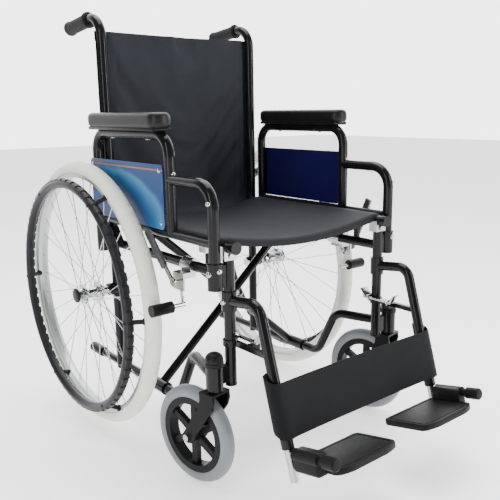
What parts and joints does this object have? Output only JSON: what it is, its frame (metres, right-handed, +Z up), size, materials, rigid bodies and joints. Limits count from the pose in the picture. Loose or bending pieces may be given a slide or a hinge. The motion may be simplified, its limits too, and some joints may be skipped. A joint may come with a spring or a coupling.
{
  "type": "manual wheelchair",
  "caption": "Folding manual wheelchair with spoked rear wheels and handrims, swivel casters, lift-off armrests, parking brakes and swing-away footrests.",
  "frame": {"origin": "floor level, centred on the chair's overall width and length", "axes": "+Z up, the chair faces -Y, +X is the sitter's left"},
  "size_m": [0.664, 1.036, 0.9383],
  "materials": {
    "frame_black": "gloss black powder coat",
    "grip_rubber": "moulded black rubber",
    "cap_plastic": "satin black",
    "zinc": "zinc plated",
    "hub_chrome": "polished",
    "bearing_steel": "ground",
    "rim_silver": "silver painted",
    "spoke_steel": "bright",
    "tyre_white": "off-white solid tyre",
    "handrim_plastic": "dark grey moulded",
    "fork_black": "satin black",
    "caster_plastic": "moulded black",
    "caster_grey": "grey solid tyre",
    "arm_pad": "self-skinned black foam",
    "panel_blue": "printed blue, navy inside",
    "lever_grip": "dark grey",
    "footplate_plastic": "moulded black",
    "seat_fabric": "charcoal woven nylon",
    "strap_fabric": "black woven nylon"
  },
  "bodies": {
    "frame_right": {"side_frame_right": "frame_black", "push_grip_right": "grip_rubber", "frame_caps_right": "cap_plastic", "rear_axle_right": "zinc", "rail_saddle_right": "zinc", "brake_clamp_right": "zinc", "back_sling": "seat_fabric"},
    "rear_wheel_right": {"wheel_hub_right": "hub_chrome", "hub_bearings_right": "bearing_steel", "rim_right": "rim_silver", "spokes_right": "spoke_steel", "tyre_right": "tyre_white", "handrim_right": "handrim_plastic"},
    "caster_swivel_right": {"caster_fork_right": "fork_black", "caster_axle_right": "zinc"},
    "caster_roll_right": {"caster_wheel_right": "caster_plastic", "caster_tyre_right": "caster_grey"},
    "armrest_right": {"armrest_tube_right": "frame_black", "armrest_pad_right": "arm_pad", "side_panel_right": "panel_blue"},
    "brake_handle_right": {"brake_lever_right": "zinc", "brake_grip_right": "lever_grip"},
    "brake_shoe_right": {"brake_arm_right": "zinc", "brake_roller_right": "cap_plastic"},
    "footrest_hanger_right": {"hanger_right": "frame_black", "calf_strap": "strap_fabric"},
    "latch_right": {"hanger_latch_right": "zinc"},
    "footrest_slide_right": {"footrest_tube_right": "zinc"},
    "plate_right": {"footplate_right": "footplate_plastic"},
    "frame_left": {"side_frame_left": "frame_black", "push_grip_left": "grip_rubber", "frame_caps_left": "cap_plastic", "rear_axle_left": "zinc", "rail_saddle_left": "zinc", "brake_clamp_left": "zinc"},
    "rear_wheel_left": {"wheel_hub_left": "hub_chrome", "hub_bearings_left": "bearing_steel", "rim_left": "rim_silver", "spokes_left": "spoke_steel", "tyre_left": "tyre_white", "handrim_left": "handrim_plastic"},
    "caster_swivel_left": {"caster_fork_left": "fork_black", "caster_axle_left": "zinc"},
    "caster_roll_left": {"caster_wheel_left": "caster_plastic", "caster_tyre_left": "caster_grey"},
    "armrest_left": {"armrest_tube_left": "frame_black", "armrest_pad_left": "arm_pad", "side_panel_left": "panel_blue"},
    "brake_handle_left": {"brake_lever_left": "zinc", "brake_grip_left": "lever_grip"},
    "brake_shoe_left": {"brake_arm_left": "zinc", "brake_roller_left": "cap_plastic"},
    "footrest_hanger_left": {"hanger_left": "frame_black"},
    "latch_left": {"hanger_latch_left": "zinc"},
    "footrest_slide_left": {"footrest_tube_left": "zinc"},
    "plate_left": {"footplate_left": "footplate_plastic"},
    "brace_a": {"cross_brace_a": "frame_black", "brace_bolt": "zinc"},
    "brace_b": {"cross_brace_b": "frame_black", "seat_sling": "seat_fabric"}
  },
  "joints": [
    {"name": "fold", "type": "hinge", "parent": "frame_right", "child": "brace_a", "pos_m": [-0.209, 0.043, 0.114], "axis": [0, -1, 0], "range_deg": [0, 39], "deforming": ["seat_sling", "back_sling", "calf_strap"]},
    {"name": "fold_cross", "type": "hinge", "parent": "brace_a", "child": "brace_b", "pos_m": [0, 0.043, 0.294], "axis": [0, -1, 0], "range_deg": [-78, 0]},
    {"name": "fold_left_frame", "type": "hinge", "parent": "brace_b", "child": "frame_left", "pos_m": [0.209, 0.043, 0.114], "axis": [0, -1, 0], "range_deg": [0, 39]},
    {"name": "rear_wheel_spin_right", "type": "hinge", "parent": "frame_right", "child": "rear_wheel_right", "pos_m": [-0.28, 0.213, 0.305], "axis": [1, 0, 0], "continuous": true},
    {"name": "caster_swivel_right", "type": "hinge", "parent": "frame_right", "child": "caster_swivel_right", "pos_m": [-0.25, -0.239, 0.229], "axis": [0, 0, 1], "continuous": true},
    {"name": "caster_roll_right", "type": "hinge", "parent": "caster_swivel_right", "child": "caster_roll_right", "pos_m": [-0.25972, -0.18385, 0.099], "axis": [0.9848, 0.1736, 0], "continuous": true},
    {"name": "armrest_lift_right", "type": "slide", "parent": "frame_right", "child": "armrest_right", "axis": [0, 0, 1], "range_m": [0, 0.12]},
    {"name": "brake_lever_right", "type": "hinge", "parent": "frame_right", "child": "brake_handle_right", "pos_m": [-0.256, -0.117, 0.392], "axis": [1, 0, 0], "range_deg": [0, 66]},
    {"name": "brake_shoe_right", "type": "hinge", "parent": "frame_right", "child": "brake_shoe_right", "pos_m": [-0.2325, -0.105, 0.385], "axis": [1, 0, 0], "range_deg": [0, 13.86]},
    {"name": "hanger_swing_right", "type": "hinge", "parent": "frame_right", "child": "footrest_hanger_right", "pos_m": [-0.209, -0.236, 0.371], "axis": [0, 0, -1], "range_deg": [0, 90]},
    {"name": "latch_release_right", "type": "hinge", "parent": "footrest_hanger_right", "child": "latch_right", "pos_m": [-0.191, -0.287, 0.2985], "axis": [0, 0, -1], "range_deg": [0, 18], "stiffness_Nm_per_rad": 0.3},
    {"name": "footrest_extend_right", "type": "slide", "parent": "footrest_hanger_right", "child": "footrest_slide_right", "axis": [0.0078, -0.2888, -0.9574], "range_m": [0, 0.05]},
    {"name": "footplate_flip_right", "type": "hinge", "parent": "footrest_slide_right", "child": "plate_right", "pos_m": [-0.20594, -0.39781, 0.12634], "axis": [0, -0.9744, 0.225], "range_deg": [0, 97.5]},
    {"name": "rear_wheel_spin_left", "type": "hinge", "parent": "frame_left", "child": "rear_wheel_left", "pos_m": [0.28, 0.213, 0.305], "axis": [1, 0, 0], "continuous": true},
    {"name": "caster_swivel_left", "type": "hinge", "parent": "frame_left", "child": "caster_swivel_left", "pos_m": [0.25, -0.239, 0.229], "axis": [0, 0, 1], "continuous": true},
    {"name": "caster_roll_left", "type": "hinge", "parent": "caster_swivel_left", "child": "caster_roll_left", "pos_m": [0.24028, -0.18385, 0.099], "axis": [0.9848, 0.1736, 0], "continuous": true},
    {"name": "armrest_lift_left", "type": "slide", "parent": "frame_left", "child": "armrest_left", "axis": [0, 0, 1], "range_m": [0, 0.12]},
    {"name": "brake_lever_left", "type": "hinge", "parent": "frame_left", "child": "brake_handle_left", "pos_m": [0.256, -0.117, 0.392], "axis": [1, 0, 0], "range_deg": [-66, 0]},
    {"name": "brake_shoe_left", "type": "hinge", "parent": "frame_left", "child": "brake_shoe_left", "pos_m": [0.2325, -0.105, 0.385], "axis": [1, 0, 0], "range_deg": [-13.86, 0]},
    {"name": "hanger_swing_left", "type": "hinge", "parent": "frame_left", "child": "footrest_hanger_left", "pos_m": [0.209, -0.236, 0.371], "axis": [0, 0, 1], "range_deg": [0, 90]},
    {"name": "latch_release_left", "type": "hinge", "parent": "footrest_hanger_left", "child": "latch_left", "pos_m": [0.191, -0.287, 0.2985], "axis": [0, 0, 1], "range_deg": [0, 18], "stiffness_Nm_per_rad": 0.3},
    {"name": "footrest_extend_left", "type": "slide", "parent": "footrest_hanger_left", "child": "footrest_slide_left", "axis": [-0.0078, -0.2888, -0.9574], "range_m": [0, 0.05]},
    {"name": "footplate_flip_left", "type": "hinge", "parent": "footrest_slide_left", "child": "plate_left", "pos_m": [0.20594, -0.39781, 0.12634], "axis": [0, 0.9744, -0.225], "range_deg": [0, 97.5]}
  ],
  "couplings": [
    {"joint": "fold_cross", "follows": "fold", "ratio": -2},
    {"joint": "fold_left_frame", "follows": "fold", "ratio": 1},
    {"joint": "brake_shoe_right", "follows": "brake_lever_right", "ratio": 0.21},
    {"joint": "footplate_flip_right", "follows": "fold", "ratio": 2.5},
    {"joint": "brake_shoe_left", "follows": "brake_lever_left", "ratio": 0.21},
    {"joint": "footplate_flip_left", "follows": "fold", "ratio": 2.5}
  ]
}
